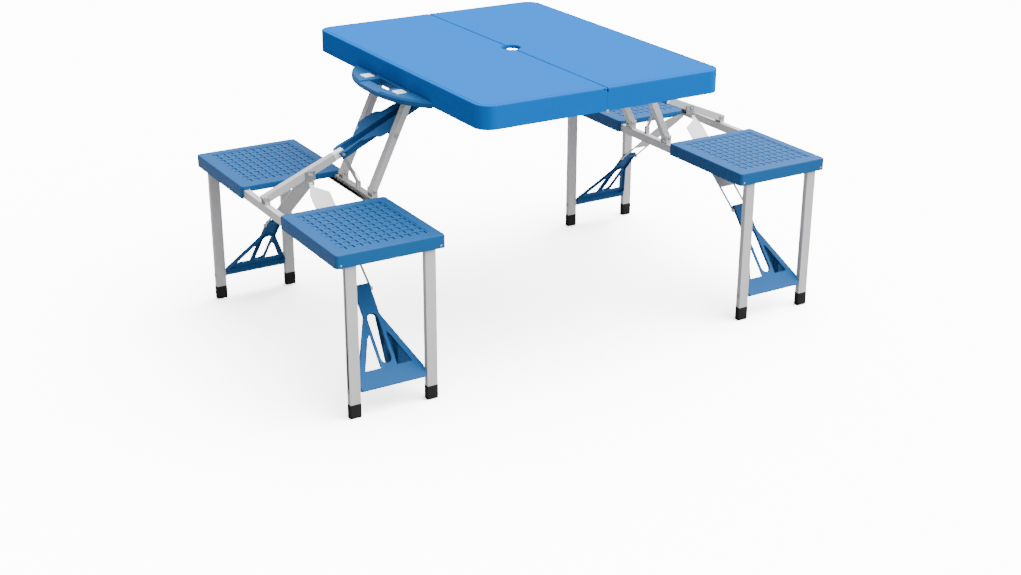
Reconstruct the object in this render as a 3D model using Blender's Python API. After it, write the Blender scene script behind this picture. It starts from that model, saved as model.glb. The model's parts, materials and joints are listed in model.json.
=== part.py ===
"""Folding camping table with four attached seats, built as an assembly of separate parts.

World frame in metres: floor at z = 0, +Z up, +Y along the seam between the two table halves,
+X across them. u is the distance from the seam, so x = side * u with side -1 (handle half) or +1.
"""

import math

import bmesh
import bpy
from mathutils import Matrix, Vector

# ---- driving dimensions -------------------------------------------------------------------
TOP_LENGTH = 0.850
TOP_WIDTH = 0.650
TOP_Z = 0.673
RIM_Z = 0.618
TOP_PLATE = 0.004
SKIRT_WALL = 0.0035
CORNER_RADIUS = 0.038
SEAM_GAP = 0.0002
UMBRELLA_RADIUS = 0.0235
LEG_NOTCH_Z = 0.6305

HINGE_LUG_RADIUS = 0.0047
HINGE_ROD_RADIUS = 0.002
HINGE_LUG_LENGTH = 0.030

HANDLE_LENGTH = 0.400
HANDLE_REACH = 0.066
HANDLE_Z = (0.613, 0.629)
HANDLE_FULLNESS = 2.6
LATCH_Y = 0.084
LATCH_U = 0.350
LATCH_SIZE = (0.0250, 0.0280)

SEAT_U = (0.409, 0.675)
SEAT_Y = (0.113, 0.411)
SEAT_Z = (0.364, 0.395)
SEAT_WALL = 0.003
SEAT_BAND_Z = 0.380
SEAT_MIDDLE_U = 0.542

RAIL_INNER_U = (0.4155, 0.4305)
RAIL_OUTER_U = (0.6535, 0.6685)
RAIL_Z = (0.3645, 0.385)
RAIL_HALF_LENGTH = 0.406
TUBE_WALL = 0.0015

ARM_TOP = (0.302, 0.654)
ARM_FOOT = (0.424, 0.400)
ARM_Y = 0.079
ARM_DEPTH = 0.016
ARM_WIDTH = 0.020

BRACE_ROOT = (0.660, 0.398)
BRACE_ANGLE = math.radians(22.5)
BRACE_TO_KNUCKLE = 0.2095
BRACE_LENGTH = 0.1895
BRACE_SIZE = 0.018

STAY_REACH = 0.125
STAY_NOTCH = 0.041
STAY_WEB = (-0.0115, -0.0095)
STAY_WING = (0.006, 0.008)
STRUT_FOOT = (0.428, 0.400)
STRUT_Y = 0.0112

HANGER_U = (0.538, 0.562)
HANGER_PIN_U = 0.554
HANGER_PIN_RADIUS = 0.003
HANGER_DROP = 0.0215
STRIP_Y = 0.019
STRIP_WIDTH = 0.050
STRIP_THICKNESS = 0.003
FORK_GAP = 0.0408
FORK_START = 0.225

LEG_U = (0.4455, 0.6385)
LEG_Y = 0.399
LEG_PIVOT_Z = 0.3697
LEG_SIZE = (0.026, 0.014)
AXLE_Z = 0.066
AXLE_RADIUS = 0.003
FOOT_HEIGHT = 0.034
PIN_RADIUS = 0.0034
PIN_CLEARANCE = 0.0004

# ---- finishes: base colour, roughness, metallic --------------------------------------------
FINISHES = {
    "blue_top": ((0.145, 0.376, 0.692), 0.42, 0.0),
    "blue_seat": ((0.052, 0.216, 0.521), 0.45, 0.0),
    "aluminium": ((0.600, 0.600, 0.590), 0.35, 0.9),
    "zinc_steel": ((0.480, 0.480, 0.470), 0.40, 0.9),
    "black_rubber": ((0.020, 0.020, 0.021), 0.75, 0.0),
    "white_plastic": ((0.850, 0.860, 0.870), 0.40, 0.0),
}


def material(name):
    """The named finish as a Principled material, made once."""
    found = bpy.data.materials.get(name)
    if found:
        return found
    colour, roughness, metallic = FINISHES[name]
    made = bpy.data.materials.new(name)
    made.use_nodes = True
    shader = made.node_tree.nodes["Principled BSDF"]
    shader.inputs["Base Color"].default_value = (*colour, 1.0)
    shader.inputs["Roughness"].default_value = roughness
    shader.inputs["Metallic"].default_value = metallic
    made.diffuse_color = (*colour, 1.0)
    return made


def new_object(name, verts, faces):
    """A mesh object with outward normals, linked to the scene."""
    mesh = bpy.data.meshes.new(name)
    mesh.from_pydata([tuple(v) for v in verts], [], faces)
    bm = bmesh.new()
    bm.from_mesh(mesh)
    bmesh.ops.recalc_face_normals(bm, faces=bm.faces)
    bm.to_mesh(mesh)
    bm.free()
    made = bpy.data.objects.new(name, mesh)
    bpy.context.scene.collection.objects.link(made)
    return made


def loft(name, rings):
    """A closed body through rings that have the same number of corners."""
    count = len(rings[0])
    verts = [p for ring in rings for p in ring]
    faces = []
    for level in range(len(rings) - 1):
        a = level * count
        b = a + count
        for i in range(count):
            j = (i + 1) % count
            faces.append((a + i, a + j, b + j, b + i))
    faces.append(tuple(reversed(range(count))))
    faces.append(tuple(range(len(verts) - count, len(verts))))
    return new_object(name, verts, faces)


def box(name, low, high):
    """A box between two corners, given in any order."""
    a = [min(p, q) for p, q in zip(low, high)]
    b = [max(p, q) for p, q in zip(low, high)]
    rings = [[(a[0], a[1], z), (b[0], a[1], z), (b[0], b[1], z), (a[0], b[1], z)] for z in (a[2], b[2])]
    return loft(name, rings)


def cylinder(name, start, end, radius, sides=10):
    """A round bar from start to end."""
    start = Vector(start)
    end = Vector(end)
    axis = (end - start).normalized()
    first = axis.orthogonal().normalized()
    second = axis.cross(first)
    rings = []
    for centre in (start, end):
        ring = []
        for i in range(sides):
            turn = 2 * math.pi * (i + 0.5) / sides
            ring.append(centre + radius * (math.cos(turn) * first + math.sin(turn) * second))
        rings.append(ring)
    return loft(name, rings)


def combine(target, tool, operation):
    """Join or cut with an exact boolean, baked into the target."""
    step = target.modifiers.new("step", "BOOLEAN")
    step.operation = operation
    step.solver = "EXACT"
    step.object = tool
    graph = bpy.context.evaluated_depsgraph_get()
    result = bpy.data.meshes.new_from_object(target.evaluated_get(graph))
    target.modifiers.remove(step)
    old = target.data
    target.data = result
    bpy.data.meshes.remove(old)
    spent = tool.data
    bpy.data.objects.remove(tool)
    bpy.data.meshes.remove(spent)


def add(target, *tools):
    """Join the tools to the target."""
    for tool in tools:
        combine(target, tool, "UNION")


def cut(target, *tools):
    """Take the tools away from the target."""
    for tool in tools:
        combine(target, tool, "DIFFERENCE")


def finish(part, name, look, smooth=False):
    """Name a finished part, weld it, give it its material and shading."""
    part.name = name
    part.data.name = name
    bm = bmesh.new()
    bm.from_mesh(part.data)
    bmesh.ops.remove_doubles(bm, verts=bm.verts, dist=0.00002)
    bmesh.ops.dissolve_limit(bm, angle_limit=0.002, verts=bm.verts, edges=bm.edges)
    bmesh.ops.recalc_face_normals(bm, faces=bm.faces)
    for edge in bm.edges:
        sharp = len(edge.link_faces) == 2 and edge.calc_face_angle(0.0) > math.radians(35)
        edge.smooth = not sharp
    for face in bm.faces:
        face.smooth = smooth
    bm.to_mesh(part.data)
    bm.free()
    part.data.materials.clear()
    part.data.materials.append(material(look))
    return part


def set_origin(part, point):
    """Move the object's origin to a world point without moving the mesh."""
    point = Vector(point)
    part.data.transform(Matrix.Translation(-point))
    part.location = point


def at(side, u, y, z):
    """A world point from the distance to the seam."""
    return Vector((side * u, y, z))


def frame_box(name, side, u, y, z):
    """A box given by its range of u, y and z on one side."""
    return box(name, (side * u[0], y[0], z[0]), (side * u[1], y[1], z[1]))


def placed(name, rings, origin, along, across, out):
    """A lofted body from rings of (a, w, n) in a tilted frame."""
    turned = []
    for ring in rings:
        turned.append([origin + a * along + w * across + n * out for a, w, n in ring])
    return loft(name, turned)


def plate(name, outline, thickness, origin, along, across, out):
    """A flat plate: an outline of (a, w) between two offsets along the out direction."""
    rings = [[(a, w, n) for a, w in outline] for n in thickness]
    return placed(name, rings, origin, along, across, out)


def bar(name, a, w, n, origin, along, across, out):
    """A box in a tilted frame from its range of a, w and n."""
    outline = [(a[0], w[0]), (a[1], w[0]), (a[1], w[1]), (a[0], w[1])]
    return plate(name, outline, n, origin, along, across, out)


def hollow(part, name, a, w, n, origin, along, across, out):
    """Open a bar end to end, leaving the tube wall."""
    inner_w = (w[0] + TUBE_WALL, w[1] - TUBE_WALL)
    inner_n = (n[0] + TUBE_WALL, n[1] - TUBE_WALL)
    cut(part, bar(name, (a[0] - 0.01, a[1] + 0.01), inner_w, inner_n, origin, along, across, out))


# ---- pivots worked out from the driving dimensions -----------------------------------------
def between(first, second, share):
    """The point a share of the way from first to second, in (u, z)."""
    return tuple(p + share * (q - p) for p, q in zip(first, second))


ARM_MIDDLE = between(ARM_TOP, ARM_FOOT, 0.5)
KNUCKLE = (
    BRACE_ROOT[0] - BRACE_TO_KNUCKLE * math.cos(BRACE_ANGLE),
    BRACE_ROOT[1] + BRACE_TO_KNUCKLE * math.sin(BRACE_ANGLE),
)
STAY_ANGLE = math.atan2(ARM_MIDDLE[1] - KNUCKLE[1], KNUCKLE[0] - ARM_MIDDLE[0])
STAY_MIDDLE = math.hypot(KNUCKLE[0] - ARM_MIDDLE[0], KNUCKLE[1] - ARM_MIDDLE[1])
STAY_LENGTH = STAY_MIDDLE + STAY_REACH
HANGER_Z = BRACE_ROOT[1] + (BRACE_ROOT[0] - HANGER_PIN_U) * math.tan(BRACE_ANGLE)
HANGER_ALONG = (BRACE_ROOT[0] - HANGER_PIN_U) / math.cos(BRACE_ANGLE)
HANGER_TRAVEL_U = HANGER_ALONG - (BRACE_ROOT[0] - HANGER_PIN_U)
STRIP_TOP = (STRIP_Y, HANGER_Z - HANGER_DROP)
AXLE = (LEG_Y, AXLE_Z)
SPAN = math.hypot(AXLE[0] - STRIP_TOP[0], STRIP_TOP[1] - AXLE[1])
FOLDED_GAP = LEG_Y - (LEG_PIVOT_Z - AXLE_Z) - STRIP_Y
LINK_SUM = SPAN + 0.002
TRIANGLE_LENGTH = 0.5 * (LINK_SUM - FOLDED_GAP)
STRIP_LENGTH = 0.5 * (LINK_SUM + FOLDED_GAP)
SPAN_ANGLE = math.atan2(STRIP_TOP[1] - AXLE[1], AXLE[0] - STRIP_TOP[0])
BEND = math.acos(
    (TRIANGLE_LENGTH**2 + SPAN**2 - STRIP_LENGTH**2) / (2 * TRIANGLE_LENGTH * SPAN)
)
TRIANGLE_ANGLE = SPAN_ANGLE + BEND
ELBOW = (
    AXLE[0] - TRIANGLE_LENGTH * math.cos(TRIANGLE_ANGLE),
    AXLE[1] + TRIANGLE_LENGTH * math.sin(TRIANGLE_ANGLE),
)
STRIP_ANGLE = math.atan2(STRIP_TOP[1] - ELBOW[1], ELBOW[0] - STRIP_TOP[0])


# ---- table halves ---------------------------------------------------------------------------
def half_outline(side, inset):
    """The outline of one half: square corners at the seam, round ones outside."""
    outer = TOP_WIDTH / 2 - inset
    end = TOP_LENGTH / 2 - inset
    seam = SEAM_GAP + inset
    radius = CORNER_RADIUS - inset
    points = [(seam, -end)]
    for first, sign in ((-90, -1), (0, 1)):
        for step in range(7):
            turn = math.radians(first + 15 * step)
            centre = (outer - radius, sign * (end - radius))
            points.append((centre[0] + radius * math.cos(turn), centre[1] + radius * math.sin(turn)))
    points.append((seam, end))
    return [(side * u, y) for u, y in points]


def hinge_lug_centres(side):
    """Where this half's hinge lugs sit along the seam."""
    return (-0.375, -0.195, 0.195, 0.375) if side < 0 else (-0.335, -0.155, 0.155, 0.335)


def table_half(side, name):
    """One moulded half of the table top, open underneath."""
    levels = ((RIM_Z, 0.0), (TOP_Z - 0.004, 0.0), (TOP_Z - 0.0012, 0.0012), (TOP_Z, 0.004))
    half = loft("half", [[(x, y, z) for x, y in half_outline(side, inset)] for z, inset in levels])
    inside = ((RIM_Z - 0.01, SKIRT_WALL), (TOP_Z - TOP_PLATE, SKIRT_WALL))
    cut(half, loft("inside", [[(x, y, z) for x, y in half_outline(side, i)] for z, i in inside]))
    for y in (-0.375, -0.285, -0.195, 0.195, 0.285, 0.375):
        add(half, frame_box("rib", side, (0.002, 0.3235), (y - 0.001, y + 0.001), (0.662, 0.671)))
    for u in (0.085, 0.165, 0.245):
        for sign in (-1, 1):
            rib_y = (sign * 0.14, sign * 0.4235)
            add(half, frame_box("rib", side, (u - 0.001, u + 0.001), rib_y, (0.662, 0.671)))
    collar = cylinder("collar", (0, 0, 0.6645), (0, 0, 0.671), UMBRELLA_RADIUS + 0.003, 28)
    cut(collar, frame_box("other_half", -side, (-SEAM_GAP, 0.1), (-0.1, 0.1), (0.6, 0.7)))
    add(half, collar)
    for sign in (-1, 1):
        middle = sign * ARM_Y
        for offset in (-0.01215, 0.01215):
            y = (middle + offset - 0.00135, middle + offset + 0.00135)
            add(half, frame_box("cheek", side, (0.293, 0.311), y, (0.645, 0.671)))
        start = at(side, ARM_TOP[0], middle - 0.016, ARM_TOP[1])
        end = at(side, ARM_TOP[0], middle + 0.016, ARM_TOP[1])
        cut(half, cylinder("bore", start, end, PIN_RADIUS + PIN_CLEARANCE))
        gap = (middle - 0.0112, middle + 0.0112)
        cut(half, frame_box("notch", side, (0.318, 0.330), gap, (0.600, LEG_NOTCH_Z)))
        cut(half, frame_box("thin", side, (0.318, 0.3227), gap, (0.600, 0.640)))
    for y in hinge_lug_centres(side):
        ends = (y - HINGE_LUG_LENGTH / 2, y + HINGE_LUG_LENGTH / 2)
        add(half, cylinder("lug", (0, ends[0], RIM_Z), (0, ends[1], RIM_Z), HINGE_LUG_RADIUS, 12))
        add(half, frame_box("foot", side, (0.001, 0.0040), ends, (RIM_Z, 0.632)))
    for y in hinge_lug_centres(-side):
        ends = (y - HINGE_LUG_LENGTH / 2 - 0.0008, y + HINGE_LUG_LENGTH / 2 + 0.0008)
        relief = HINGE_LUG_RADIUS + 0.001
        cut(half, cylinder("relief", (0, ends[0], RIM_Z), (0, ends[1], RIM_Z), relief, 12))
        cut(half, frame_box("relief", -side, (-0.0008, 0.01), ends, (RIM_Z - 0.01, 0.634)))
    cut(half, cylinder("rod_bore", (0, -0.43, RIM_Z), (0, 0.43, RIM_Z), HINGE_ROD_RADIUS + 0.0004))
    cut(half, cylinder("umbrella", (0, 0, 0.6), (0, 0, 0.7), UMBRELLA_RADIUS, 28))
    finish(half, name, "blue_top")
    if side > 0:
        set_origin(half, (0, 0, RIM_Z))


def hinge_rods():
    """The two rods that join the halves along the seam, one on each side of the umbrella hole."""
    end = TOP_LENGTH / 2
    for sign, place in ((-1, "near"), (1, "far")):
        inner = sign * 0.134
        outer = sign * (end + 0.001)
        rod = cylinder("rod", (0, inner, RIM_Z), (0, outer, RIM_Z), HINGE_ROD_RADIUS)
        start = (0, sign * (end + 0.0003), RIM_Z)
        add(rod, cylinder("head", start, (0, sign * (end + 0.0018), RIM_Z), 0.0042, 16))
        finish(rod, "hinge_rod_" + place, "zinc_steel", True)


# ---- handle and latch buttons ----------------------------------------------------------------
def handle_outline(inset):
    """The half-moon outline of the handle, seen from above."""
    wall = TOP_WIDTH / 2 + 0.0003
    half = HANDLE_LENGTH / 2 - inset
    reach = HANDLE_REACH - inset
    points = [(wall, -half)]
    for step in range(1, 24):
        y = -half + 2 * half * step / 24
        points.append((wall + reach * (1 - abs(y / half) ** HANDLE_FULLNESS), y))
    points.append((wall, half))
    return [(-u, y) for u, y in points]


def handle():
    """The carrying handle: a thick half-moon plate with a grip opening and two windows."""
    low, high = HANDLE_Z
    levels = ((low, 0.004), (low + 0.0035, 0.0004), (high - 0.0045, 0.0), (high, 0.005))
    grip = loft("handle", [[(x, y, z) for x, y in handle_outline(inset)] for z, inset in levels])
    cut(grip, frame_box("opening", -1, (0.3325, 0.3605), (-0.048, 0.048), (0.60, 0.64)))
    cut(grip, frame_box("thumb", -1, (0.3600, 0.400), (-0.052, 0.052), (0.6262, 0.64)))
    for sign in (-1, 1):
        y = sign * LATCH_Y
        u = (LATCH_U - LATCH_SIZE[0] / 2 - 0.0005, LATCH_U + LATCH_SIZE[0] / 2 + 0.0005)
        reach = LATCH_SIZE[1] / 2 + 0.0005
        cut(grip, frame_box("window", -1, u, (y - reach, y + reach), (0.60, 0.64)))
        leg = sign * ARM_Y
        gap_y = (leg - 0.0125, leg + 0.0125)
        cut(grip, frame_box("leg_gap", -1, (0.320, 0.3340), gap_y, (0.60, 0.6262)))
    finish(grip, "handle", "blue_seat")
    for sign, label in ((-1, "near"), (1, "far")):
        y = sign * LATCH_Y
        u = (LATCH_U - LATCH_SIZE[0] / 2, LATCH_U + LATCH_SIZE[0] / 2)
        reach = LATCH_SIZE[1] / 2
        button = frame_box("button", -1, u, (y - reach, y + reach), (0.6165, 0.6305))
        grips = [(-0.004, -0.0025), (0.0025, 0.004)]
        for first, last in grips:
            groove_u = (u[0] + 0.005, u[1] - 0.005)
            cut(button, frame_box("groove", -1, groove_u, (y + first, y + last), (0.6293, 0.64)))
        finish(button, "latch_button_" + label, "white_plastic")


# ---- seats ------------------------------------------------------------------------------------
def rounded_rectangle(low, high, radius, steps=4):
    """A rectangle with round corners as (x, y) points."""
    points = []
    corners = (
        (high[0] - radius, low[1] + radius, -90),
        (high[0] - radius, high[1] - radius, 0),
        (low[0] + radius, high[1] - radius, 90),
        (low[0] + radius, low[1] + radius, 180),
    )
    for x, y, first in corners:
        for step in range(steps + 1):
            turn = math.radians(first + 90 * step / steps)
            points.append((x + radius * math.cos(turn), y + radius * math.sin(turn)))
    return points


def seat(side, end, name):
    """One moulded seat: a shell open underneath, with a recessed panel on top."""
    low = (min(side * SEAT_U[0], side * SEAT_U[1]), min(end * SEAT_Y[0], end * SEAT_Y[1]))
    high = (max(side * SEAT_U[0], side * SEAT_U[1]), max(end * SEAT_Y[0], end * SEAT_Y[1]))

    def ring(inset, radius, z):
        a = (low[0] + inset, low[1] + inset)
        b = (high[0] - inset, high[1] - inset)
        return [(x, y, z) for x, y in rounded_rectangle(a, b, radius)]

    bottom, top = SEAT_Z
    shell = loft(
        "seat",
        [
            ring(0, 0.008, bottom),
            ring(0, 0.008, top - 0.004),
            ring(0.0012, 0.0075, top - 0.0012),
            ring(0.004, 0.006, top),
        ],
    )
    cut(shell, loft("inside", [ring(SEAT_WALL, 0.005, bottom - 0.01), ring(SEAT_WALL, 0.005, top - SEAT_WALL)]))
    cut(shell, loft("panel", [ring(0.026, 0.006, top - 0.0008), ring(0.026, 0.006, top + 0.01)]))
    inner = end * SEAT_Y[0]
    u = (SEAT_U[0] + 0.0046, SEAT_U[1] - 0.0046)
    band_y = (inner - end * 0.01, inner + end * 0.0065)
    cut(shell, frame_box("band", side, u, band_y, (0.35, SEAT_BAND_Z)))
    for rail in (RAIL_INNER_U, RAIL_OUTER_U):
        u = (rail[0] - 0.0012, rail[1] + 0.0012)
        gap = (inner - end * 0.01, inner + end * 0.0065)
        cut(shell, frame_box("rail_gap", side, u, gap, (0.35, RAIL_Z[1] + 0.0008)))
    finish(shell, name, "blue_seat")


# ---- rails ------------------------------------------------------------------------------------
X_AXIS = Vector((1, 0, 0))
Y_AXIS = Vector((0, 1, 0))
Z_AXIS = Vector((0, 0, 1))


def rail(side, span, name):
    """One straight rail under two seats, without its brackets."""
    a = (-RAIL_HALF_LENGTH, RAIL_HALF_LENGTH)
    frame = (Vector((0, 0, 0)), Y_AXIS, X_AXIS, Z_AXIS)
    w = (min(side * span[0], side * span[1]), max(side * span[0], side * span[1]))
    made = bar("rail", a, w, RAIL_Z, *frame)
    hollow(made, "bore", a, w, RAIL_Z, *frame)
    for end in (-1, 1):
        start = at(side, span[0] - 0.01, end * LEG_Y, LEG_PIVOT_Z)
        stop = at(side, span[1] + 0.01, end * LEG_Y, LEG_PIVOT_Z)
        cut(made, cylinder("bore", start, stop, 0.0031))
    return made


def bracket(part, side, u, middle, half_gap, z_top, pin, radius):
    """Two cheeks that stand on a rail on each side of a pivoting bar, with a pin bore."""
    for sign in (-1, 1):
        y = (middle + sign * half_gap, middle + sign * (half_gap + 0.0025))
        add(part, frame_box("cheek", side, u, y, (RAIL_Z[1] - 0.001, z_top)))
    base_y = (middle - half_gap - 0.001, middle + half_gap + 0.001)
    add(part, frame_box("base", side, u, base_y, (RAIL_Z[1] - 0.001, RAIL_Z[1] + 0.0012)))
    start = at(side, pin[0], middle - half_gap - 0.006, pin[1])
    stop = at(side, pin[0], middle + half_gap + 0.006, pin[1])
    cut(part, cylinder("bore", start, stop, radius))


def rails(side, tag):
    """The inner rail with the arm and strut brackets, and the outer rail with the brace bracket."""
    inner = rail(side, RAIL_INNER_U, "inner")
    for sign in (-1, 1):
        bore = PIN_RADIUS + PIN_CLEARANCE
        bracket(inner, side, (0.4165, 0.4315), sign * ARM_Y, 0.0108, 0.4065, ARM_FOOT, bore)
    bracket(inner, side, (0.4225, 0.4335), side * STRUT_Y, 0.0018, 0.4045, STRUT_FOOT, 0.0023)
    finish(inner, tag + "_rail_inner", "aluminium")
    outer = rail(side, RAIL_OUTER_U, "outer")
    bracket(outer, side, (0.6535, 0.6665), 0.0, 0.0095, 0.4045, BRACE_ROOT, PIN_RADIUS + PIN_CLEARANCE)
    finish(outer, tag + "_rail_outer", "aluminium")


# ---- folding arms -----------------------------------------------------------------------------
def arm(side, end, name):
    """A square arm from the table half's edge down to the inner rail, with its pins."""
    top = at(side, ARM_TOP[0], end * ARM_Y, ARM_TOP[1])
    foot = at(side, ARM_FOOT[0], end * ARM_Y, ARM_FOOT[1])
    along = (foot - top).normalized()
    out = along.cross(Y_AXIS).normalized()
    length = (foot - top).length
    a = (-0.006, length + 0.007)
    w = (-ARM_WIDTH / 2, ARM_WIDTH / 2)
    n = (-ARM_DEPTH / 2, ARM_DEPTH / 2)
    made = bar("arm", a, w, n, top, along, Y_AXIS, out)
    hollow(made, "bore", a, w, n, top, along, Y_AXIS, out)
    for point in (top, foot):
        add(made, cylinder("pin", point - 0.0142 * Y_AXIS, point + 0.0142 * Y_AXIS, PIN_RADIUS))
    middle = (top + foot) / 2
    add(made, cylinder("rivet", middle + end * 0.002 * Y_AXIS, middle + end * 0.0116 * Y_AXIS, 0.0045))
    add(made, cylinder("pin", middle + end * 0.004 * Y_AXIS, middle - end * 0.0188 * Y_AXIS, 0.003))
    finish(made, name, "aluminium")
    set_origin(made, top)


# ---- centre brace and stay ---------------------------------------------------------------------
def brace_frame(side):
    """Origin and axes of the brace tube, from its root on the outer rail."""
    root = at(side, BRACE_ROOT[0], 0, BRACE_ROOT[1])
    along = Vector((-side * math.cos(BRACE_ANGLE), 0, math.sin(BRACE_ANGLE)))
    out = Vector((side * math.sin(BRACE_ANGLE), 0, math.cos(BRACE_ANGLE)))
    return root, along, Y_AXIS, out


def brace(side, tag):
    """The open-ended brace tube with its root pin."""
    frame = brace_frame(side)
    a = (-0.0085, BRACE_LENGTH)
    w = (-BRACE_SIZE / 2, BRACE_SIZE / 2)
    made = bar("brace", a, w, w, *frame)
    hollow(made, "bore", a, w, w, *frame)
    root = frame[0]
    add(made, cylinder("pin", root - 0.0135 * Y_AXIS, root + 0.0135 * Y_AXIS, PIN_RADIUS))
    point = at(side, HANGER_PIN_U, 0, HANGER_Z)
    add(made, cylinder("pin", point - 0.0131 * Y_AXIS, point + 0.0131 * Y_AXIS, HANGER_PIN_RADIUS))
    finish(made, tag + "_brace_tube", "aluminium")
    set_origin(made, root)


def hanger(side, tag):
    """The slotted bracket that rides the pin through the brace tube and carries the two strips."""
    z = HANGER_Z
    u = HANGER_U
    made = frame_box("hanger", side, u, (-0.0120, 0.0120), (z - 0.0180, z - 0.0158))
    for sign in (-1, 1):
        cheek = (sign * 0.0097, sign * 0.0120)
        add(made, frame_box("cheek", side, u, cheek, (z - 0.017, z + 0.0065)))
    reach = HANGER_PIN_RADIUS + 0.0006
    slot = (HANGER_PIN_U - HANGER_TRAVEL_U - reach, HANGER_PIN_U + reach)
    cut(made, frame_box("slot", side, slot, (-0.02, 0.02), (z - reach - 0.0006, z + reach + 0.0006)))
    lugs = ((HANGER_PIN_U - 0.0080, HANGER_PIN_U - 0.0060), (HANGER_PIN_U + 0.0060, HANGER_PIN_U + 0.0080))
    for sign in (-1, 1):
        for lug in lugs:
            add(made, frame_box("lug", side, lug, (sign * 0.0100, sign * 0.0232), (z - 0.0255, z - 0.0160)))
        start = at(side, lugs[0][0] - 0.004, sign * STRIP_Y, STRIP_TOP[1])
        stop = at(side, lugs[1][1] + 0.004, sign * STRIP_Y, STRIP_TOP[1])
        cut(made, cylinder("bore", start, stop, 0.0023))
    finish(made, tag + "_strip_hanger", "zinc_steel")
    set_origin(made, at(side, HANGER_PIN_U, 0, z))


def stay_frame(side):
    """Origin and axes of the stay, from the knuckle up towards the table."""
    start = at(side, KNUCKLE[0], 0, KNUCKLE[1])
    along = Vector((-side * math.cos(STAY_ANGLE), 0, math.sin(STAY_ANGLE)))
    out = Vector((side * math.sin(STAY_ANGLE), 0, math.cos(STAY_ANGLE)))
    return start, along, Y_AXIS, out


def stay(side, tag):
    """The moulded stay: a trough with wide wings, two prongs at the knuckle."""
    frame = stay_frame(side)
    end = STAY_LENGTH
    half = [
        (-0.009, 0.0170),
        (-0.004, 0.0235),
        (0.010, 0.0265),
        (0.026, 0.0240),
        (0.050, 0.0215),
        (0.062, 0.0330),
        (0.078, 0.0390),
        (0.086, 0.0600),
        (0.094, 0.0650),
        (0.134, 0.0650),
        (0.142, 0.0600),
        (0.150, 0.0450),
        (0.185, 0.0400),
        (end - 0.008, 0.0330),
        (end + 0.008, 0.0250),
    ]
    outline = [(a, -w) for a, w in half] + [(a, w) for a, w in reversed(half)]
    made = plate("stay", outline, STAY_WING, *frame)
    low = STAY_WEB[0]
    add(made, bar("trough", (-0.006, end + 0.006), (-0.0165, 0.0165), (low, STAY_WING[1]), *frame))
    cut(made, bar("inside", (-0.02, end + 0.02), (-0.0138, 0.0138), (STAY_WEB[1], 0.02), *frame))
    cut(made, bar("prongs", (-0.02, STAY_NOTCH), (-0.0138, 0.0138), (-0.02, 0.02), *frame))
    slope = [
        (end - 0.022, -0.030),
        (end - 0.022, STAY_WEB[0]),
        (end + 0.009, STAY_WING[0]),
        (end + 0.030, -0.030),
    ]
    rings = [[(a, w, n) for a, n in slope] for w in (-0.02, 0.02)]
    cut(made, placed("slope", rings, *frame))
    for sign in (-1, 1):
        ear = (sign * 0.0610, sign * 0.0640)
        middle = STAY_MIDDLE
        ear_a = (middle - 0.007, middle + 0.007)
        add(made, bar("ear", ear_a, (min(ear), max(ear)), (-0.006, 0.007), *frame))
    centre = frame[0] + STAY_MIDDLE * frame[1]
    cut(made, cylinder("bore", centre - 0.07 * Y_AXIS, centre - 0.05 * Y_AXIS, 0.0034))
    cut(made, cylinder("bore", centre + 0.05 * Y_AXIS, centre + 0.07 * Y_AXIS, 0.0034))
    for at_a in (0.0, end - 0.004):
        point = frame[0] + at_a * frame[1]
        for sign in (-1, 1):
            inner = point + sign * 0.0150 * Y_AXIS
            outer = point + sign * 0.0182 * Y_AXIS
            add(made, cylinder("boss", inner, outer, 0.0045))
    finish(made, tag + "_stay", "blue_seat")
    set_origin(made, centre)


def knuckle(side, tag):
    """The block plugged into the end of the brace tube, between the stay's prongs."""
    frame = brace_frame(side)
    ends = (BRACE_LENGTH + 0.0004, BRACE_TO_KNUCKLE + 0.007)
    block = (-0.0085, 0.0085)
    spigot = (-0.0071, 0.0071)
    made = bar("knuckle", ends, block, block, *frame)
    add(made, bar("spigot", (BRACE_LENGTH - 0.018, BRACE_LENGTH + 0.001), spigot, spigot, *frame))
    start = frame[0] + BRACE_TO_KNUCKLE * frame[1]
    add(made, cylinder("pin", start - 0.0093 * Y_AXIS, start + 0.0093 * Y_AXIS, 0.0045))
    finish(made, tag + "_knuckle", "white_plastic")


def strut(side, tag):
    """The thin lock strut from the inner rail up to the knuckle."""
    foot = at(side, STRUT_FOOT[0], side * STRUT_Y, STRUT_FOOT[1])
    head = at(side, KNUCKLE[0], side * STRUT_Y, KNUCKLE[1])
    along = (head - foot).normalized()
    out = along.cross(Y_AXIS).normalized()
    length = (head - foot).length
    outline = []
    for centre, first in ((0.0, 90), (length, -90)):
        for step in range(7):
            turn = math.radians(first + 30 * step)
            outline.append((centre + 0.004 * math.cos(turn), 0.004 * math.sin(turn)))
    made = plate("strut", outline, (-0.0012, 0.0012), foot, along, out, Y_AXIS)
    add(made, cylinder("pin", foot - 0.0040 * Y_AXIS, foot + 0.0040 * Y_AXIS, 0.0019))
    finish(made, tag + "_lock_strut", "zinc_steel")
    set_origin(made, foot)


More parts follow.
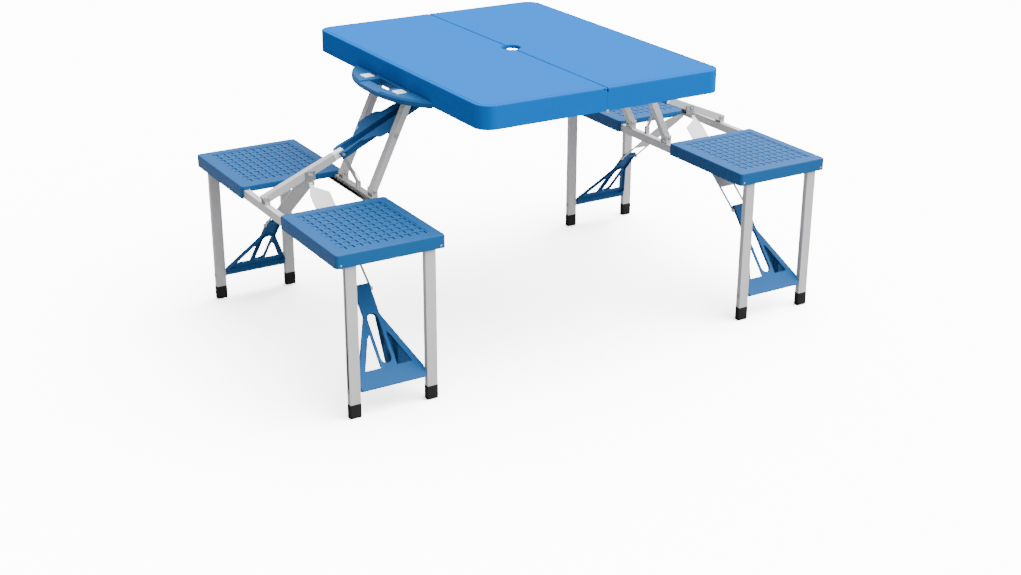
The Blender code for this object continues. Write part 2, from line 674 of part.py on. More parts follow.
# ---- legs and their braces ------------------------------------------------------------------------
def leg(side, end, u, name):
    """A rectangular leg tube with its pivot pin towards the nearest rail."""
    outward = 1 if u > SEAT_MIDDLE_U else -1
    origin = at(side, u, end * LEG_Y, 0)
    a = (0.010, LEG_PIVOT_Z + 0.0045)
    w = (-LEG_SIZE[0] / 2, LEG_SIZE[0] / 2)
    n = (-LEG_SIZE[1] / 2, LEG_SIZE[1] / 2)
    made = bar("leg", a, w, n, origin, Z_AXIS, X_AXIS, Y_AXIS)
    hollow(made, "bore", a, w, n, origin, Z_AXIS, X_AXIS, Y_AXIS)
    start = at(side, u + outward * 0.008, end * LEG_Y, LEG_PIVOT_Z)
    stop = at(side, u + outward * 0.0305, end * LEG_Y, LEG_PIVOT_Z)
    add(made, cylinder("pin", start, stop, 0.0028))
    low = at(side, u - 0.02, end * LEG_Y, AXLE_Z)
    high = at(side, u + 0.02, end * LEG_Y, AXLE_Z)
    cut(made, cylinder("bore", low, high, AXLE_RADIUS + 0.0003))
    finish(made, name, "aluminium")
    set_origin(made, (side * u, end * LEG_Y, LEG_PIVOT_Z))


def foot(side, end, u, name):
    """The rubber cap over a leg's lower end."""
    size = (LEG_SIZE[0] / 2 + 0.0013, LEG_SIZE[1] / 2 + 0.0013)
    middle = (side * u, end * LEG_Y)

    def ring(inset, z):
        low = (middle[0] - size[0] + inset, middle[1] - size[1] + inset)
        high = (middle[0] + size[0] - inset, middle[1] + size[1] - inset)
        return [(x, y, z) for x, y in rounded_rectangle(low, high, 0.003, 2)]

    made = loft("foot", [ring(0.0015, 0.0), ring(0.0, 0.0018), ring(0.0, FOOT_HEIGHT)])
    pocket = (LEG_SIZE[0] / 2 + 0.0003, LEG_SIZE[1] / 2 + 0.0003)
    low = (middle[0] - pocket[0], middle[1] - pocket[1], 0.0096)
    high = (middle[0] + pocket[0], middle[1] + pocket[1], 0.06)
    cut(made, box("pocket", low, high))
    finish(made, name, "black_rubber")


def axle(side, end, name):
    """The rod through both legs and the foot of the triangular brace."""
    y = end * LEG_Y
    made = cylinder("axle", at(side, 0.4315, y, AXLE_Z), at(side, 0.6525, y, AXLE_Z), AXLE_RADIUS, 12)
    add(made, cylinder("head", at(side, 0.4309, y, AXLE_Z), at(side, 0.4322, y, AXLE_Z), 0.0052))
    add(made, cylinder("head", at(side, 0.6518, y, AXLE_Z), at(side, 0.6531, y, AXLE_Z), 0.0052))
    finish(made, name, "zinc_steel", True)


def triangle_frame(side, end):
    """Origin and axes of a triangular brace, from the axle up towards the seat rails."""
    origin = at(side, SEAT_MIDDLE_U, end * AXLE[0], AXLE[1])
    along = Vector((0, -end * math.cos(TRIANGLE_ANGLE), math.sin(TRIANGLE_ANGLE)))
    out = Vector((0, end * math.sin(TRIANGLE_ANGLE), math.cos(TRIANGLE_ANGLE)))
    return origin, along, X_AXIS, out


def triangle(side, end, name):
    """The moulded triangular brace with its oblong slot and two side openings."""
    frame = triangle_frame(side, end)
    tip = TRIANGLE_LENGTH + 0.012
    half = [(-0.0085, 0.0780), (-0.004, 0.0815), (0.018, 0.0815), (0.150, 0.0235), (0.160, 0.0200), (tip, 0.0200)]
    outline = [(a, -w) for a, w in half] + [(a, w) for a, w in reversed(half)]
    made = plate("triangle", outline, (-0.0020, 0.0065), *frame)
    pocket = [(0.012, -0.0700), (0.0225, -0.0770), (0.146, -0.0205), (0.222, -0.0165)]
    pocket = pocket + [(a, -w) for a, w in reversed(pocket)]
    cut(made, plate("pocket", pocket, (-0.01, 0.0035), *frame))
    slot_rim = []
    slot = []
    for centre, first in ((0.055, 90), (0.150, -90)):
        for step in range(7):
            turn = math.radians(first + 30 * step)
            slot_rim.append((centre + 0.0155 * math.cos(turn), 0.0155 * math.sin(turn)))
            slot.append((centre + 0.0130 * math.cos(turn), 0.0130 * math.sin(turn)))
    add(made, plate("slot_rim", slot_rim, (-0.0020, 0.0050), *frame))
    cut(made, plate("slot", slot, (-0.01, 0.02), *frame))
    for sign in (-1, 1):
        corners = [(0.034, sign * 0.0205), (0.034, sign * 0.0585), (0.105, sign * 0.0285), (0.115, sign * 0.0205)]
        cut(made, plate("side_opening", corners, (-0.01, 0.02), *frame))
    add(made, bar("hub", (-0.006, 0.006), (-0.0815, 0.0815), (-0.0045, 0.0060), *frame))
    first = at(side, 0.45, end * LEG_Y, AXLE_Z)
    last = at(side, 0.64, end * LEG_Y, AXLE_Z)
    cut(made, cylinder("bore", first, last, AXLE_RADIUS + 0.0003))
    finish(made, name, "blue_seat")
    set_origin(made, frame[0])


def strip(side, end, name):
    """The flat strip from the hanger down to the triangle's tip, forked at its lower end."""
    origin = at(side, SEAT_MIDDLE_U, end * STRIP_TOP[0], STRIP_TOP[1])
    along = Vector((0, end * math.cos(STRIP_ANGLE), -math.sin(STRIP_ANGLE)))
    out = Vector((0, end * math.sin(STRIP_ANGLE), math.cos(STRIP_ANGLE)))
    frame = (origin, along, X_AXIS, out)
    eye = side * (HANGER_PIN_U - SEAT_MIDDLE_U)
    half = STRIP_WIDTH / 2
    neck = (eye - 0.0055, eye + 0.0055)
    length = STRIP_LENGTH
    outline = [(0.0, neck[0]), (0.010, neck[0]), (0.030, -half), (length + 0.005, -half)]
    outline += [(length + 0.005, half), (0.030, half), (0.010, neck[1]), (0.0, neck[1])]
    t = STRIP_THICKNESS / 2
    made = plate("strip", outline, (-t, t), *frame)
    cut(made, bar("fork", (FORK_START, length + 0.02), (-FORK_GAP / 2, FORK_GAP / 2), (-0.01, 0.01), *frame))
    pin = at(side, HANGER_PIN_U, end * STRIP_TOP[0], STRIP_TOP[1])
    add(made, cylinder("eye", pin - 0.0055 * X_AXIS, pin + 0.0055 * X_AXIS, 0.0036))
    add(made, cylinder("pin", pin - 0.0076 * X_AXIS, pin + 0.0076 * X_AXIS, 0.0019))
    for sign in (-1, 1):
        tip = origin + length * along + sign * 0.0205 * X_AXIS
        add(made, cylinder("rivet", tip + sign * 0.0002 * X_AXIS, tip + sign * 0.0060 * X_AXIS, 0.0042))
    finish(made, name, "aluminium")
    set_origin(made, pin)


def build():
    """Make every part."""
    for old in list(bpy.data.objects):
        bpy.data.objects.remove(old)
    table_half(-1, "half_left")
    table_half(1, "half_right")
    hinge_rods()
    handle()
    for side, tag in ((-1, "left"), (1, "right")):
        rails(side, tag)
        brace(side, tag)
        hanger(side, tag)
        stay(side, tag)
        knuckle(side, tag)
        strut(side, tag)
        for end, place in ((-1, "near"), (1, "far")):
            label = tag + "_" + place
            arm(side, end, label + "_arm")
            seat(side, end, label + "_seat")
            for u, which in zip(LEG_U, ("inner", "outer")):
                leg(side, end, u, label + "_leg_" + which)
                foot(side, end, u, label + "_foot_" + which)
            axle(side, end, label + "_axle")
            triangle(side, end, label + "_triangle")
            strip(side, end, label + "_strip")


build()
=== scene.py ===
"""Looks for the folding picnic table: rounded mouldings, woven seat panels, satin tubes and a studio.

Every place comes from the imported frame. Each frame node is stood in for by a finer mesh that is grown
from the node's own surface, so the joints and outlines stay exactly where the frame has them.
"""

from __future__ import annotations

import json
import logging
import math
from dataclasses import dataclass, field, replace
from enum import Enum
from typing import Callable, Iterable

import bmesh
import bpy
from mathutils import Matrix, Vector

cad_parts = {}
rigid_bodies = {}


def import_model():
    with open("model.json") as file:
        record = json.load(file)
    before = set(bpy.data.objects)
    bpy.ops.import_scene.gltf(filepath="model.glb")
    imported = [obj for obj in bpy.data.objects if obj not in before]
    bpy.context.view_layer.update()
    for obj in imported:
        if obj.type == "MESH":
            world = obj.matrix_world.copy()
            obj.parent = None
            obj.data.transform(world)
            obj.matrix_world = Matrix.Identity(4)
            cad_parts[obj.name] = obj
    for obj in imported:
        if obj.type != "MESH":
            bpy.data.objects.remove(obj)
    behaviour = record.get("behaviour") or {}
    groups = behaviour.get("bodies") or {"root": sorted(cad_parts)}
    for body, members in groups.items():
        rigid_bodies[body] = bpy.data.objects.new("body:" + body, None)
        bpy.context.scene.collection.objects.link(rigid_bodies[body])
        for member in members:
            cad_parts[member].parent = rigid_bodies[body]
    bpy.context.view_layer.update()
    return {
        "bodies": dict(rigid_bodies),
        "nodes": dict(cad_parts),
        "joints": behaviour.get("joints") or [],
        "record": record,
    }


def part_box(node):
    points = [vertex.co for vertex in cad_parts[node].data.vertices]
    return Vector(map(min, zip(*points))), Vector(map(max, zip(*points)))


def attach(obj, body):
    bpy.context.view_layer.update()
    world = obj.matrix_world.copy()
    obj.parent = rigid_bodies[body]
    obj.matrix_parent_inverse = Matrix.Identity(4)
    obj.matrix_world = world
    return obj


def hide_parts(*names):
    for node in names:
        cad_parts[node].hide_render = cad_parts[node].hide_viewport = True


log = logging.getLogger("picnic_table")

MM = 0.001

FINE_DETAIL = 3.0
BROAD_GRAIN = 11.0
BROAD_DETAIL = 4.0
GRAIN_HEIGHT = 0.15 * MM
WEAR_RANGE = (0.6, 1.4)
LEAST_ROUGHNESS = 0.02

WELD_DISTANCE = 0.01 * MM
FLAT_ANGLE = 0.6
SHARP_ANGLE = 28.0
SEAM_REACH = 1.5 * MM
SEAM_ROUNDING = 0.15
SMOOTH_ANGLE = 32.0
TURNED_ANGLE = 50.0
FINE_SIDES = 16
RIVET_SIDES = 24
HOLE_SIDES = 48
DOME_STEPS = 6
DOME_TIP = 0.06


# ---- finishes ------------------------------------------------------------------------------------
class Slot(str, Enum):
    """Material slots of the record."""

    TOP = "blue_top"
    SEAT = "blue_seat"
    ALUMINIUM = "aluminium"
    STEEL = "zinc_steel"
    RUBBER = "black_rubber"
    WHITE = "white_plastic"


class Grain(Enum):
    """Which way a finish is drawn out, as stretch factors along X, Y and Z."""

    EVEN = (1.0, 1.0, 1.0)
    ALONG_X = (0.03, 1.0, 1.0)
    ALONG_Y = (1.0, 0.03, 1.0)
    ALONG_Z = (1.0, 1.0, 0.03)


@dataclass(frozen=True)
class Finish:
    """One surface finish, built as a procedural node material.

    Attributes:
        slot: Record slot that the finish belongs to.
        colour: Linear base colour.
        roughness: Mean roughness.
        metallic: Metalness of the surface.
        mottle: Share by which the colour wanders.
        grain: Size of the fine relief, as noise cells per metre.
        relief: Strength of the fine relief.
        wear: Spread of the roughness.
        direction: Way the relief is drawn out.
        gloss: Strength of the mirror-like share.
    """

    slot: Slot
    colour: tuple[float, float, float]
    roughness: float
    metallic: float = 0.0
    mottle: float = 0.04
    grain: float = 900.0
    relief: float = 0.12
    wear: float = 0.06
    direction: Grain = Grain.EVEN
    gloss: float = 0.5

    def shade(self, factor: float) -> tuple[float, float, float, float]:
        """Return the base colour scaled by a factor."""
        return tuple(min(1.0, c * factor) for c in self.colour) + (1.0,)

    def build(self) -> bpy.types.Material:
        """Make the node material.

        Returns:
            The material, made once for each name.
        """
        name = f"{self.slot.value}_{self.direction.name.lower()}"
        found = bpy.data.materials.get(name)
        if found:
            return found
        made = bpy.data.materials.new(name)
        made.use_nodes = True
        tree = made.node_tree
        link = tree.links.new
        shader = tree.nodes["Principled BSDF"]
        shader.inputs["Metallic"].default_value = self.metallic
        shader.inputs["Specular IOR Level"].default_value = self.gloss
        place = tree.nodes.new("ShaderNodeTexCoord")
        stretch = tree.nodes.new("ShaderNodeMapping")
        stretch.inputs["Scale"].default_value = self.direction.value
        link(place.outputs["Object"], stretch.inputs["Vector"])
        fine = self._noise(tree, stretch.outputs["Vector"], self.grain, FINE_DETAIL)
        broad = self._noise(tree, place.outputs["Object"], BROAD_GRAIN, BROAD_DETAIL)
        bump = tree.nodes.new("ShaderNodeBump")
        bump.inputs["Strength"].default_value = self.relief
        bump.inputs["Distance"].default_value = GRAIN_HEIGHT
        link(fine.outputs["Fac"], bump.inputs["Height"])
        link(bump.outputs["Normal"], shader.inputs["Normal"])
        tint = tree.nodes.new("ShaderNodeMix")
        tint.data_type = "RGBA"
        tint.inputs["A"].default_value = self.shade(1.0 - self.mottle)
        tint.inputs["B"].default_value = self.shade(1.0 + self.mottle)
        link(broad.outputs["Fac"], tint.inputs["Factor"])
        link(tint.outputs["Result"], shader.inputs["Base Color"])
        blend = tree.nodes.new("ShaderNodeMath")
        blend.operation = "ADD"
        link(fine.outputs["Fac"], blend.inputs[0])
        link(broad.outputs["Fac"], blend.inputs[1])
        rough = tree.nodes.new("ShaderNodeMapRange")
        rough.inputs["From Min"].default_value = WEAR_RANGE[0]
        rough.inputs["From Max"].default_value = WEAR_RANGE[1]
        rough.inputs["To Min"].default_value = max(LEAST_ROUGHNESS, self.roughness - self.wear)
        rough.inputs["To Max"].default_value = min(1.0, self.roughness + self.wear)
        link(blend.outputs["Value"], rough.inputs["Value"])
        link(rough.outputs["Result"], shader.inputs["Roughness"])
        return made

    @staticmethod
    def _noise(
        tree: bpy.types.NodeTree, vector: bpy.types.NodeSocket, scale: float, detail: float
    ) -> bpy.types.Node:
        """Add a noise texture fed by a vector socket.

        Args:
            tree: Node tree to add to.
            vector: Socket that places the noise.
            scale: Cells per metre.
            detail: Number of finer layers.

        Returns:
            The noise node.
        """
        node = tree.nodes.new("ShaderNodeTexNoise")
        node.inputs["Scale"].default_value = scale
        node.inputs["Detail"].default_value = detail
        tree.links.new(vector, node.inputs["Vector"])
        return node


TOP_PLASTIC = Finish(
    Slot.TOP, (0.002, 0.078, 0.300), roughness=0.55, mottle=0.02, grain=1400.0, relief=0.10, gloss=0.0
)
SEAT_PLASTIC = Finish(
    Slot.SEAT, (0.010, 0.060, 0.172), roughness=0.48, mottle=0.03, grain=1400.0, relief=0.12, gloss=0.05
)
RUBBER = Finish(
    Slot.RUBBER, (0.012, 0.012, 0.012), roughness=0.70, mottle=0.15, grain=1100.0, relief=0.35, gloss=0.05
)
WHITE_PLASTIC = Finish(
    Slot.WHITE, (0.72, 0.73, 0.74), roughness=0.38, mottle=0.02, relief=0.08, gloss=0.3
)
ZINC = Finish(
    Slot.STEEL,
    (0.30, 0.30, 0.29),
    roughness=0.34,
    metallic=0.70,
    mottle=0.12,
    grain=700.0,
    relief=0.10,
    wear=0.10,
    gloss=0.1,
)
DRAWN_ALUMINIUM = Finish(
    Slot.ALUMINIUM,
    (0.40, 0.40, 0.40),
    roughness=0.42,
    metallic=0.25,
    mottle=0.05,
    grain=800.0,
    relief=0.16,
    wear=0.07,
    gloss=0.1,
)


def tube_finish(direction: Grain) -> Finish:
    """Return the satin aluminium finish drawn along one direction."""
    return replace(DRAWN_ALUMINIUM, direction=direction)


@dataclass(frozen=True)
class RivetHead:
    """Size of a domed rivet or screw head.

    Attributes:
        radius: Radius at the flat side.
        height: Rise of the dome.
    """

    radius: float
    height: float


ARM_MIDDLE_RIVET = RivetHead(5.2 * MM, 2.2 * MM)
ARM_FOOT_RIVET = RivetHead(4.6 * MM, 1.8 * MM)
BRACE_ROOT_RIVET = RivetHead(4.8 * MM, 0.4 * MM)
STAY_RIVET = RivetHead(4.4 * MM, 1.8 * MM)
SEAT_SCREW = RivetHead(2.6 * MM, 1.0 * MM)


# ---- mesh work -----------------------------------------------------------------------------------
class Edges(Enum):
    """Which edges of a part are rounded."""

    ALL = "all"
    AWAY_FROM_SEAM = "away_from_seam"


Point = Vector | tuple[float, float, float]
Ring = list[tuple[float, float, float]]


class Mesh:
    """Helpers that make and combine closed meshes in world coordinates."""

    @staticmethod
    def loft(name: str, rings: list[Ring]) -> bpy.types.Object:
        """Make a closed body through rings with the same number of corners.

        Args:
            name: Object name.
            rings: Rings of world points, from the first cap to the last.

        Returns:
            The new object.
        """
        count = len(rings[0])
        mesh = bpy.data.meshes.new(name)
        faces = []
        for level in range(len(rings) - 1):
            low = level * count
            high = low + count
            for i in range(count):
                j = (i + 1) % count
                faces.append((low + i, low + j, high + j, high + i))
        faces.append(tuple(reversed(range(count))))
        last = (len(rings) - 1) * count
        faces.append(tuple(range(last, last + count)))
        mesh.from_pydata([tuple(p) for ring in rings for p in ring], [], faces)
        work = bmesh.new()
        work.from_mesh(mesh)
        bmesh.ops.recalc_face_normals(work, faces=work.faces)
        work.to_mesh(mesh)
        work.free()
        made = bpy.data.objects.new(name, mesh)
        bpy.context.scene.collection.objects.link(made)
        return made

    @staticmethod
    def box(name: str, low: Iterable[float], high: Iterable[float]) -> bpy.types.Object:
        """Make a box between two corners given in any order."""
        a = [min(p, q) for p, q in zip(low, high)]
        b = [max(p, q) for p, q in zip(low, high)]
        rings = [[(a[0], a[1], z), (b[0], a[1], z), (b[0], b[1], z), (a[0], b[1], z)] for z in (a[2], b[2])]
        return Mesh.loft(name, rings)

    @staticmethod
    def turned(
        name: str, start: Point, end: Point, profile: list[tuple[float, float]], sides: int = 32
    ) -> bpy.types.Object:
        """Make a turned piece.

        Args:
            name: Object name.
            start: Point where the share is 0.
            end: Point where the share is 1.
            profile: Pairs of share along the axis and radius.
            sides: Corners round the axis.

        Returns:
            The new object.
        """
        start = Vector(start)
        axis = Vector(end) - start
        first = axis.orthogonal().normalized()
        second = axis.normalized().cross(first)
        rings = []
        for share, radius in profile:
            ring = []
            for i in range(sides):
                turn = 2 * math.pi * i / sides
                spoke = math.cos(turn) * first + math.sin(turn) * second
                ring.append(tuple(start + share * axis + radius * spoke))
            rings.append(ring)
        return Mesh.loft(name, rings)

    @staticmethod
    def join(name: str, parts: list[bpy.types.Object]) -> bpy.types.Object:
        """Put several separate bodies into one object.

        Args:
            name: Name of the result.
            parts: Objects that are used up.

        Returns:
            The new object.
        """
        work = bmesh.new()
        for part in parts:
            work.from_mesh(part.data)
        mesh = bpy.data.meshes.new(name)
        work.to_mesh(mesh)
        work.free()
        for part in parts:
            spent = part.data
            bpy.data.objects.remove(part)
            bpy.data.meshes.remove(spent)
        made = bpy.data.objects.new(name, mesh)
        bpy.context.scene.collection.objects.link(made)
        return made

    @staticmethod
    def combine(target: bpy.types.Object, tool: bpy.types.Object, operation: str) -> None:
        """Apply an exact boolean to the target and use up the tool.

        Args:
            target: Object to change.
            tool: Object that is added or cut away.
            operation: UNION or DIFFERENCE.
        """
        step = target.modifiers.new("step", "BOOLEAN")
        step.operation = operation
        step.solver = "EXACT"
        step.use_self = True
        step.object = tool
        Mesh.bake(target)
        spent = tool.data
        bpy.data.objects.remove(tool)
        bpy.data.meshes.remove(spent)

    @staticmethod
    def bake(target: bpy.types.Object) -> None:
        """Turn the target's modifiers into its mesh.

        Args:
            target: Object whose modifiers are used up.
        """
        graph = bpy.context.evaluated_depsgraph_get()
        result = bpy.data.meshes.new_from_object(target.evaluated_get(graph))
        target.modifiers.clear()
        old = target.data
        target.data = result
        bpy.data.meshes.remove(old)

    @staticmethod
    def copy_of(node: str) -> bpy.types.Object:
        """Copy a frame node's surface as a clean, welded mesh in world coordinates.

        Args:
            node: Frame node name.

        Returns:
            A new object, with flat facets merged back into whole faces.
        """
        source = FRAME["nodes"][node]
        mesh = source.data.copy()
        mesh.transform(source.matrix_world)
        work = bmesh.new()
        work.from_mesh(mesh)
        bmesh.ops.remove_doubles(work, verts=work.verts, dist=WELD_DISTANCE)
        flat = math.radians(FLAT_ANGLE)
        bmesh.ops.dissolve_limit(work, angle_limit=flat, verts=work.verts, edges=work.edges)
        bmesh.ops.recalc_face_normals(work, faces=work.faces)
        work.to_mesh(mesh)
        work.free()
        if mesh.attributes.get("custom_normal"):
            mesh.attributes.remove(mesh.attributes["custom_normal"])
        mesh.materials.clear()
        made = bpy.data.objects.new(f"{node}_shown", mesh)
        bpy.context.scene.collection.objects.link(made)
        return made

    @staticmethod
    def soften(
        target: bpy.types.Object,
        width: float,
        edges: Edges = Edges.ALL,
        segments: int = 3,
        flat: bool = False,
    ) -> None:
        """Round the sharp edges of a mesh and shade it smooth.

        Args:
            target: Object to round.
            width: Width of the rounding in metres.
            edges: Which edges are rounded.
            segments: Facets across each rounding.
            flat: Keep every facet flat instead of shading it smooth.
        """
        work = bmesh.new()
        work.from_mesh(target.data)
        weight = work.edges.layers.float.new("bevel_weight_edge")
        for edge in work.edges:
            if len(edge.link_faces) != 2 or edge.calc_face_angle(0.0) < math.radians(SHARP_ANGLE):
                continue
            near_seam = all(abs(v.co.x) < SEAM_REACH for v in edge.verts)
            edge[weight] = 1.0 if edges is Edges.ALL or not near_seam else SEAM_ROUNDING
        work.to_mesh(target.data)
        work.free()
        rounding = target.modifiers.new("rounding", "BEVEL")
        rounding.limit_method = "WEIGHT"
        rounding.width = width
        rounding.segments = segments
        rounding.use_clamp_overlap = True
        rounding.miter_outer = "MITER_ARC"
        Mesh.bake(target)
        if not flat:
            Mesh.smooth(target)

    @staticmethod
    def smooth(target: bpy.types.Object, angle: float = SMOOTH_ANGLE) -> None:
        """Shade smooth, keeping steep edges sharp.

        Args:
            target: Object to shade.
            angle: Angle in degrees above which an edge stays sharp.
        """
        target.data.shade_smooth()
        target.data.set_sharp_from_angle(angle=math.radians(angle))
        even = target.modifiers.new("even_normals", "WEIGHTED_NORMAL")
        even.keep_sharp = True
        Mesh.bake(target)


FRAME: dict = {}


# ---- assembly base -------------------------------------------------------------------------------
@dataclass
class Assembly:
    """A named group of pieces that ride on bodies of the frame."""

    name: str
    count: int = field(default=0, init=False)

    def body_of(self, node: str) -> str:
        """Return the name of the body that holds a frame node."""
        bodies = FRAME["record"]["behaviour"]["bodies"]
        return next(body for body, nodes in bodies.items() if node in nodes)

    def dress(self, piece: bpy.types.Object, body: str, finish: Finish) -> bpy.types.Object:
        """Give a piece its finish and the body it rides on.

        Args:
            piece: The object.
            body: Frame body.
            finish: Surface finish.

        Returns:
            The same object.
        """
        piece.data.materials.clear()
        piece.data.materials.append(finish.build())
        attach(piece, body)
        self.count += 1
        log.info("%s: %s on %s", self.name, piece.name, body)
        return piece

    def stand_in(self, node: str, piece: bpy.types.Object, finish: Finish) -> bpy.types.Object:
        """Show a piece in place of a frame node."""
        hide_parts(node)
        return self.dress(piece, self.body_of(node), finish)

    def rounded(
        self,
        node: str,
        finish: Finish,
        width: float,
        change: Callable[[bpy.types.Object], None] | None = None,
        edges: Edges = Edges.ALL,
        flat: bool = False,
    ) -> bpy.types.Object:
        """Show a frame node with rounded edges.

        Args:
            node: Frame node.
            finish: Surface finish.
            width: Width of the rounding.
            change: Mesh work done before the rounding.
            edges: Which edges are rounded.
            flat: Keep every facet flat.

        Returns:
            The new piece.
        """
        piece = Mesh.copy_of(node)
        if change:
            change(piece)
        Mesh.soften(piece, width, edges, flat=flat)
        return self.stand_in(node, piece, finish)

    def rivet(self, name: str, centre: Point, axis: Point, head: RivetHead, body: str) -> None:
        """Add a domed rivet head.

        Args:
            name: Piece name.
            centre: Middle of the head's flat side.
            axis: Way the dome faces.
            head: Size of the head.
            body: Frame body it rides on.
        """
        profile = [(0.0, head.radius)]
        for step in range(1, DOME_STEPS):
            turn = math.radians(90 * step / DOME_STEPS)
            profile.append((math.sin(turn), head.radius * math.cos(turn)))
        profile.append((1.0, DOME_TIP * head.radius))
        top = Vector(centre) + head.height * Vector(axis)
        dome = Mesh.turned(name, centre, top, profile, RIVET_SIDES)
        Mesh.smooth(dome, TURNED_ANGLE)
        self.dress(dome, body, ZINC)


# ---- table top -----------------------------------------------------------------------------------
@dataclass
class TableTop(Assembly):
    """The two top halves, their hinge rods, the carrying handle and its latch buttons."""

    edge_round: float = 1.3 * MM
    rim_inset: float = 8.0 * MM
    rim_width: float = 1.3 * MM
    rim_depth: float = 0.7 * MM
    corner_radius: float = 38.0 * MM
    corner_steps: int = 12
    past_seam: float = 20.0 * MM
    core_past_seam: float = 25.0 * MM
    hole_radius: float = 23.5 * MM
    hole_ring: float = 2.0 * MM
    hole_step: float = 1.0 * MM
    handle_round: float = 1.4 * MM
    button_round: float = 0.7 * MM
    rod_round: float = 0.5 * MM
    slot_half: float = 2.2 * MM
    slot_reach: float = 8.0 * MM
    slot_drop: tuple[float, float] = (11.0 * MM, 3.0 * MM)
    screw_offset: float = -8.5 * MM
    screw_drop: float = 4.5 * MM
    screw_radius: float = 2.2 * MM
    button_slot_half: float = 2.2 * MM
    button_slot_offset: float = 5.0 * MM
    button_slot_span: tuple[float, float] = (0.60, 0.22)
    button_slot_depth: float = 4.0 * MM
    clear: float = 2.0 * MM

    def build(self) -> None:
        """Make every piece of the top."""
        for node in ("half_left", "half_right"):
            self.rounded(node, TOP_PLASTIC, self.edge_round, self._details(node), Edges.AWAY_FROM_SEAM)
        self.rounded("handle", SEAT_PLASTIC, self.handle_round)
        for place in ("near", "far"):
            slots = self._button_slots(place)
            self.rounded(f"latch_button_{place}", WHITE_PLASTIC, self.button_round, slots)
            self.rounded(f"hinge_rod_{place}", ZINC, self.rod_round)

    def _details(self, node: str) -> Callable[[bpy.types.Object], None]:
        """Return the mesh work for one half.

        Args:
            node: Frame node of the half.

        Returns:
            A function that cuts the half's fine details.
        """

        def change(half: bpy.types.Object) -> None:
            """Cut the rim line, the hole's step and the seam's slots."""
            low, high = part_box(node)
            side = -1 if low[0] + high[0] < 0 else 1
            Mesh.combine(half, self._rim_groove(side, low, high), "DIFFERENCE")
            Mesh.combine(half, self._hole_groove(high[2]), "DIFFERENCE")
            for end in (low[1], high[1]):
                Mesh.combine(half, self._latch_slot(end, high[2]), "DIFFERENCE")

        return change

    def _button_slots(self, place: str) -> Callable[[bpy.types.Object], None]:
        """Return the mesh work for the two slots in a button's face.

        Args:
            place: Which button, near or far.

        Returns:
            A function that cuts one slot from each side of the button.
        """

        def change(button: bpy.types.Object) -> None:
            """Cut the two slots from opposite sides."""
            low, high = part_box(f"latch_button_{place}")
            middle = (low + high) / 2
            across = high[0] - low[0]
            for way in (-1, 1):
                centre = middle.y + way * self.button_slot_offset
                near = middle.x - way * self.button_slot_span[0] * across
                far = middle.x + way * self.button_slot_span[1] * across
                half = self.button_slot_half
                start = (min(near, far), centre - half, high[2] - self.button_slot_depth)
                stop = (max(near, far), centre + half, high[2] + self.clear)
                Mesh.combine(button, Mesh.box("slot", start, stop), "DIFFERENCE")

        return change

    def _outline(
        self, side: int, reach: tuple[float, float], inset: float, z: float, past: float
    ) -> Ring:
        """Return a round-cornered outline of one half that runs on past the seam.

        Args:
            side: Side of the half, -1 or 1.
            reach: Reach of the half across the seam and along it.
            inset: Distance in from the half's edge.
            z: Height of the outline.
            past: Reach beyond the seam.

        Returns:
            The outline's points.
        """
        outer = reach[0] - inset
        end = reach[1] - inset
        radius = self.corner_radius - inset
        ring = [(-past, -end)]
        for first, sign in ((-90, -1), (0, 1)):
            for step in range(self.corner_steps + 1):
                turn = math.radians(first + 90 * step / self.corner_steps)
                u = outer - radius + radius * math.cos(turn)
                ring.append((u, sign * (end - radius) + radius * math.sin(turn)))
        ring.append((-past, end))
        return [(side * u, y, z) for u, y in ring]

    def _rim_groove(self, side: int, low: Vector, high: Vector) -> bpy.types.Object:
        """Return the cutter for the fine line that runs round the top.

        Args:
            side: Side of the half, -1 or 1.
            low: Lower corner of the half's box.
            high: Upper corner of the half's box.

        Returns:
            The cutter.
        """
        top = high[2]
        reach = (max(abs(low[0]), abs(high[0])), high[1])
        levels = (top - self.rim_depth, top + self.rim_depth)
        rings = [self._outline(side, reach, self.rim_inset, z, self.past_seam) for z in levels]
        groove = Mesh.loft("rim_outer", rings)
        inner = self.rim_inset + self.rim_width
        wide = (top - 3 * self.rim_depth, top + 3 * self.rim_depth)
        rings = [self._outline(side, reach, inner, z, self.core_past_seam) for z in wide]
        Mesh.combine(groove, Mesh.loft("rim_inner", rings), "DIFFERENCE")
        return groove

    def _hole_groove(self, top: float) -> bpy.types.Object:
        """Return the cutter for the step round the umbrella hole.

        Args:
            top: Height of the table top.

        Returns:
            The cutter.
        """
        radius = self.hole_radius + self.hole_ring
        start = (0, 0, top - self.hole_step)
        stop = (0, 0, top + self.hole_step)
        return Mesh.turned("hole_step", start, stop, [(0, radius), (1, radius)], HOLE_SIDES)

    def _latch_slot(self, end: float, top: float) -> bpy.types.Object:
        """Return the cutter for the dark slot and the screw hole at the top of the seam.

        Args:
            end: Place of the end wall along the seam.
            top: Height of the table top.

        Returns:
            The cutter.
        """
        sign = 1 if end > 0 else -1
        outer = end + sign * self.clear
        inner = end - sign * self.slot_reach
        low, high = (top - drop for drop in self.slot_drop)
        slot = Mesh.box("slot", (-self.slot_half, inner, low), (self.slot_half, outer, high))
        hole_start = (self.screw_offset, inner, top - self.screw_drop)
        hole_end = (self.screw_offset, outer, top - self.screw_drop)
        profile = [(0, self.screw_radius), (1, self.screw_radius)]
        hole = Mesh.turned("screw_hole", hole_start, hole_end, profile, FINE_SIDES)
        return Mesh.join("seam_cuts", [slot, hole])


